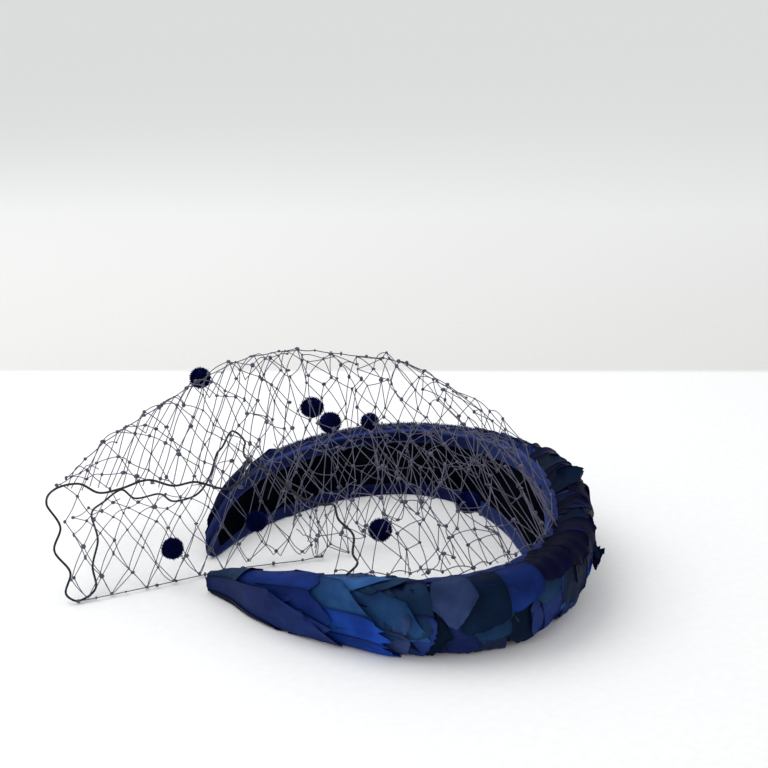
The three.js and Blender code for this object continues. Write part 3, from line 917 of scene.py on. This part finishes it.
def makeNet(fromX, toX, fromV, phase, off):
    # knots on a diamond lattice, each joined to its four neighbours by threads that follow the veil and are
    # cut at its edge; a further layer starts at fromV across the veil and lies off it. Towards the band the
    # net is gathered: its cells get narrower and its knots lie less evenly
    stepX, stepW = veil["cellAlong"] / 2, veil["cellAcross"] / 2
    span = np.linspace(*veil["netSpan"], 200)
    ease = np.clip(span / 50, 0, 1)
    pace = np.cumsum(1 / (stepX * (1 - veil["gather"] * ease**2 * (3 - 2 * ease))))
    pace = pace * (span[-1] - span[0]) / (len(span) - 1)
    pace -= pace[0]
    i = np.arange(0, int(pace[-1]) + 1)
    columnX = np.interp(i + phase, pace, span)
    closest = stepW * (1 - veil["narrow"])
    j = np.arange(math.floor(reach.min() / closest) - 2, math.ceil(reach.max() / closest) + 3)
    gridI, gridJ = np.meshgrid(i, j, indexing="ij")
    loose = np.clip(columnX / 60, 0, 1)[:, None]
    knotX = columnX[:, None] + rng.normal(0, 1, gridI.shape) * (0.5 + 0.9 * loose)
    knotW = gridJ * stepW * (1 - veil["narrow"] * loose) + rng.normal(0, 1, gridI.shape) * (0.8 + 1.7 * loose)
    knotX[0] = columnX[0]
    sway = rng.normal(0, 1, gridI.shape + (3,)) * (0.4 + 1.2 * loose)[..., None]
    even = (gridI + gridJ) % 2 == 1
    paths = []
    steps = 7
    fine = np.linspace(0, 1, 41)
    ai, aj = np.nonzero(even[:-1, 1:-1])
    aj = aj + 1
    x0, w0 = knotX[ai, aj], knotW[ai, aj]
    for dj in (1, -1):
        x1, w1 = knotX[ai + 1, aj + dj], knotW[ai + 1, aj + dj]
        wayX = x0[:, None] + (x1 - x0)[:, None] * fine
        _, _, ok = netShares(wayX, w0[:, None] + (w1 - w0)[:, None] * fine)
        ok &= wayX <= veil["netEnd"]
        first = np.where(ok.any(1), fine[ok.argmax(1)], 1)
        last = np.where(ok.any(1), fine[ok.shape[1] - 1 - ok[:, ::-1].argmax(1)], 0)
        _, middleV, _ = netShares((x0 + x1) / 2, (w0 + w1) / 2)
        keep = (last - first > 0.06) & (middleV >= fromV)
        keep &= (np.minimum(x0, x1) >= fromX) & (np.maximum(x0, x1) <= toX)
        t = first[keep, None] + (last - first)[keep, None] * np.linspace(0, 1, steps)
        x = x0[keep, None] + (x1 - x0)[keep, None] * t
        w = w0[keep, None] + (w1 - w0)[keep, None] * t
        u, v, _ = netShares(x, w)
        path = veilPoint(u, v)
        straight = path[:, :1] + (path[:, -1:] - path[:, :1]) * np.linspace(0, 1, steps)[None, :, None]
        path = 0.55 * path + 0.45 * straight
        swayA, swayB = sway[ai, aj][keep][:, None], sway[ai + 1, aj + dj][keep][:, None]
        path += swayA * (1 - t)[..., None] + swayB * t[..., None]
        bow = rng.normal(0, 0.35, (len(path), 1, 3)) * np.sin(math.pi * t)[..., None]
        paths.append(path + bow)
    paths = np.concatenate(paths) + off
    paths[..., 2] = np.maximum(paths[..., 2], veil["lowestThread"])
    ki, kj = np.nonzero(even)
    u, v, inside = netShares(knotX[ki, kj], knotW[ki, kj])
    inside &= (knotX[ki, kj] <= min(toX, veil["netEnd"])) & (knotX[ki, kj] >= fromX) & (v >= fromV)
    knots = veilPoint(u, v)[inside] + sway[ki, kj][inside] + off
    knots[:, 2] = np.maximum(knots[:, 2], veil["lowestKnot"])
    return tubes(paths, veil["thread"]), knots


def balls(centres, radius, stretch=0.25, seed=2):
    # small closed knots, four rings of six points and two poles, each squeezed a little differently
    own = np.random.default_rng(seed)
    rings, sides = 4, 6
    shell = np.concatenate([ballShell(rings, sides)[0].reshape(-1, 3), [[0, 0, 1], [0, 0, -1]]])
    count = len(centres)
    uneven = 1 + stretch * own.normal(0, 1, (count, 1, 3)).clip(-1.5, 1.5)
    points = (centres[:, None] + shell[None] * uneven * np.reshape(radius, (-1, 1, 1))).reshape(-1, 3)
    return points, outward(points, [copied(f, count, len(shell)) for f in cappedFaces(rings, sides)])


def lengthAt(points):
    # how far along its own line each point lies
    return np.concatenate([[0], np.cumsum(np.linalg.norm(np.diff(points, axis=0), axis=1))])


def onLine(t, at, points):
    # places on the straight pieces between points, where at says how far along each point lies
    return np.stack([np.interp(t, at, points[:, k]) for k in range(3)], -1)


def hemThread(u, v, bow):
    # a thread from knot to knot along one line of the veil, bowed in between: returns its tube and its knots
    fine = veilPoint(np.linspace(*u, 400), np.full(400, v))
    at = lengthAt(fine)
    count = int(at[-1] / veil["hemKnots"]) + 1
    knots = onLine(np.linspace(0, at[-1], count) + np.r_[0, rng.normal(0, 1.2, count - 2), 0], at, fine)
    t = np.linspace(0, count - 1, (count - 1) * 6 + 1)
    path = onLine(t, np.arange(count), knots)
    path[:, 2] += bow * np.abs(np.sin(math.pi * t))
    path[:, 2] = np.maximum(path[:, 2], veil["lowestThread"])
    knots[:, 2] = np.maximum(knots[:, 2], veil["lowestKnot"])
    return tubes(path[None], veil["hemThread"]), knots


# the whole net, a second layer where its open end doubles and one by the near arm; then four lines of knots
layers = [
    makeNet(fromX=-60, toX=140, fromV=0, phase=0, off=(0, 0, 0)),
    makeNet(fromX=-60, toX=34, fromV=0.63, phase=0.5, off=(0.6, 0.8, -1.2)),
    makeNet(fromX=56, toX=140, fromV=0.86, phase=0.4, off=(1, 1, -1.2)),
]
hems = [
    hemThread(u=(0.01, 0.52), v=1 / 3, bow=0.0),  # fold
    hemThread(u=(0.02, 0.8), v=0.664, bow=-0.3),  # ridge
    hemThread(u=(0.5, 1.0), v=1.0, bow=1.4),  # near edge
    hemThread(u=(0.48, 1.0), v=0.0, bow=1.2),  # far edge
]
knotPlaces = np.concatenate([knots for _, knots in layers + hems])
knotSizes = veil["knot"] * rng.uniform(0.8, 1.3, len(knotPlaces))
points, faces = joined([balls(knotPlaces, knotSizes)] + [tube for tube, _ in layers + hems])
netThreads = makeMesh("net_threads", points, outward(points, faces), materials["net"])
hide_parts("net_veil")


def smoothPath(points, steps):
    # a smooth curve through points, with slopes from the neighbours
    at = lengthAt(points)
    columns = {"along": at, "x": points[:, 0], "y": points[:, 1], "z": points[:, 2]}
    return np.stack([between(columns, k, np.linspace(0, at[-1], steps)) for k in "xyz"], -1)


# the edge cord on the veil: shares along and across it, and how far it swings out in millimetres, from its
# seam on the far arm over a loop to the far edge, down and up the open end, and the near edge to the near arm
cordRows = table("u v left up", [
    (0.43, 0.12, 0, 0), (0.41, 0.115, 0, 0), (0.395, 0.08, 0, 0), (0.395, 0.045, 0, 0),
    (0.4, 0.015, 0, 0), (0.39, 0, 0.5, 3), (0.385, 0, 2.5, 5), (0.365, 0, 3, 1.5), (0.355, 0, 3.5, 1),
    (0.315, 0.015, 0, 0), (0.28, 0.095, 0, 0), (0.235, 0.09, 0, 0), (0.205, 0, 0, 1),
    (0.15, 0, 0, 0), (0.12, 0, 0, 4), (0.075, 0, 0, 0), (0.045, 0.075, 0, 0), (0.06, 0.2, 0, 0),
    (0.045, 0.245, 0, 0), (0.05, 0.29, 0, 0), (0.015, 0.33, 1, 0), (0, 0.38, 2.5, 0),
    (0, 0.425, 0, 0), (0, 0.47, 5, 0), (0, 0.53, 1.5, 0), (0, 0.6, 5, 0), (0, 1, 0, 0),
    (0.05, 0.965, 0, 0), (0.09, 1, 0, -2.5), (0.13, 1, 0, -1.5), (0.18, 0.99, 0, 0),
    (0.225, 1, 0, -1), (0.265, 0.995, 0, 0), (0.325, 1, 0, -1), (0.37, 0.98, 0, 0), (0.4, 0.955, 0, 0),
    (0.46, 0.945, 0, 0), (0.495, 0.93, 0, 0), (0.51, 0.925, 0, 0), (0.515, 0.94, 0, 0),
    (0.535, 0.955, 0, 0), (0.53, 0.975, 0, 0), (0.535, 0.985, 0, 0), (0.515, 1, 0, 0),
])
swing = np.stack([-cordRows["left"], 0 * cordRows["left"], cordRows["up"]], -1)
cordPath = smoothPath(veilPoint(cordRows["u"], cordRows["v"]) + swing, 560)
cordPath[:, 2] = np.maximum(cordPath[:, 2], 0.85)
points, faces = tubes(cordPath[None], veil["cord"], 8)
edgeCord = makeMesh("edge_cord", points, outward(points, faces), materials["cord"])
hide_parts("net_veil")
print("veil ready:", len(knotPlaces), "knots")


# chenille dots: shares of a dot's radius, then its fibres in millimetres
chenille = {
    "rings": 14,
    "sides": 20,
    "body": 0.88,
    "lumps": 0.09,
    "squeeze": 0.05,
    "rough": 0.04,
    "pole": 0.9,
    "fibres": 2600,
    "bend": 0.6,
    "length": (0.3, 0.62),
    "radii": (0.13, 0.1, 0.03),
}


def makeDot(number, nodeName):
    # a lumpy ball of pile: a core whose radius varies with sines and at random, and short fibres out of it
    low, high = [np.array(c) * 1000 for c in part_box(nodeName)]
    middle, size = (low + high) / 2, (high - low) / 2
    own = np.random.default_rng(100 + number)
    shell, tilt, turn = ballShell(chenille["rings"], chenille["sides"])
    lump = (chenille["body"] + chenille["lumps"] * np.sin(3 * turn + number) * np.sin(2 * tilt)
            + chenille["squeeze"] * np.sin(2 * turn + 2 * number)
            + chenille["rough"] * own.normal(0, 1, shell.shape[:2]))
    pole = np.array([0, 0, size[2] * chenille["pole"]])
    core = (middle + shell * lump[..., None] * size).reshape(-1, 3)
    core = np.concatenate([core, [middle + pole, middle - pole]])
    count = chenille["fibres"]
    way = own.normal(0, 1, (count, 3))
    way /= np.linalg.norm(way, axis=1, keepdims=True)
    bent = way + chenille["bend"] * own.normal(0, 1, (count, 3))
    foots = middle + way * size * chenille["body"]
    ends = foots + bent * own.uniform(*chenille["length"], (count, 1))
    hair = tubes(np.stack([foots, (foots + ends) / 2, ends], 1), np.array([chenille["radii"]]), 3)
    points, faces = joined([(core, outward(core, cappedFaces(*shell.shape[:2]))), hair])
    dot = makeMesh("chenille_ball_%d" % (number + 1), points, faces, materials["chenille"])
    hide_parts(nodeName)


for number, nodeName in enumerate(sorted(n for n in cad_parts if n.startswith("chenille_dot"))):
    makeDot(number, nodeName)
print("dots ready")


# floor, light and camera
studio = {
    "lens": 60.94,
    "pitch": 17.558,
    "turn": 11.547,
    "place": (-27.98, -476.21, 229.09),
    "floorHalf": 40.0,
    "sky": 0.86,
    "keyPower": 5.0,
    "keyPlace": (-0.45, 0.25, 0.9),
    "keySize": 0.9,
}


def makeStage():
    # matt paper with a grain of about 3 mm, on a floor 80 m wide; beyond a soft straight line it has painted
    # shade in place of a wall: darkest just past the line and paler further on; the way to that line is along
    # the camera's heading
    material, tree, shader = newMaterial("pale_paper")
    place = addNode(tree, "ShaderNodeTexCoord").outputs["Object"]
    grain = addNode(tree, "ShaderNodeTexNoise", [("Vector", place)], in_Scale=perMetre(3.3333), in_Detail=2.0)
    shade = ramp(tree, grain.outputs["Fac"], [(0.3, "#f3f3f1"), (0.7, "#f6f6f5")])
    turn = math.radians(studio["turn"])
    heading = addNode(tree, "ShaderNodeVectorMath", [(0, place)], operation="DOT_PRODUCT",
                      in_1=(math.sin(turn), math.cos(turn), 0.0))
    # painted shade: past 0.27 m along the heading the paper turns darker, then lighter again by 0.8 m
    tone = ramp(tree, heading.outputs["Value"],
                [(0.0, "#ffffff"), (0.264, "#ffffff"), (0.27, "#e6e5e3"), (0.8, "#f8f8f7")])
    paperWithPaintedShade = addNode(tree, "ShaderNodeMix", [(6, shade.outputs[0]), (7, tone.outputs[0])],
                    data_type="RGBA", blend_type="MULTIPLY", in_0=1.0)
    tree.links.new(paperWithPaintedShade.outputs[2], shader.inputs["Base Color"])
    shader.inputs["Roughness"].default_value = 0.9
    shader.inputs["Specular IOR Level"].default_value = 0.1
    mesh = bpy.data.meshes.new("floor")
    far = studio["floorHalf"]
    mesh.from_pydata([(-far, -far, 0), (far, -far, 0), (far, far, 0), (-far, far, 0)], [], [(0, 1, 2, 3)])
    mesh.materials.append(material)
    floor = bpy.data.objects.new("floor", mesh)
    bpy.context.scene.collection.objects.link(floor)


makeStage()
world = bpy.data.worlds.new("studio")
world.use_nodes = True
world.node_tree.nodes["Background"].inputs[0].default_value = toLinear("#fbfcff")
world.node_tree.nodes["Background"].inputs[1].default_value = studio["sky"]
bpy.context.scene.world = world


def addSoftbox(name, place, size, power):
    light = bpy.data.lights.new(name, "AREA")
    light.size = size
    light.energy = power
    lamp = bpy.data.objects.new(name, light)
    lamp.location = place
    x, y, z = place
    lamp.rotation_euler = (math.atan2(math.hypot(x, y), z), 0, math.atan2(x, -y))
    bpy.context.scene.collection.objects.link(lamp)


addSoftbox("softbox_key", studio["keyPlace"], studio["keySize"], studio["keyPower"])

camera = bpy.data.cameras.new("camera")
camera.lens = studio["lens"]
camera.sensor_width = 36.0
camera.sensor_fit = "HORIZONTAL"
camera.clip_start = 0.01
view = bpy.data.objects.new("camera", camera)
view.location = tuple((np.array(studio["place"]) + shift) / 1000)
view.rotation_euler = (math.radians(90 - studio["pitch"]), 0, math.radians(-studio["turn"]))
bpy.context.scene.collection.objects.link(view)
bpy.context.scene.camera = view
bpy.context.scene.view_settings.view_transform = "Standard"
print("studio ready")
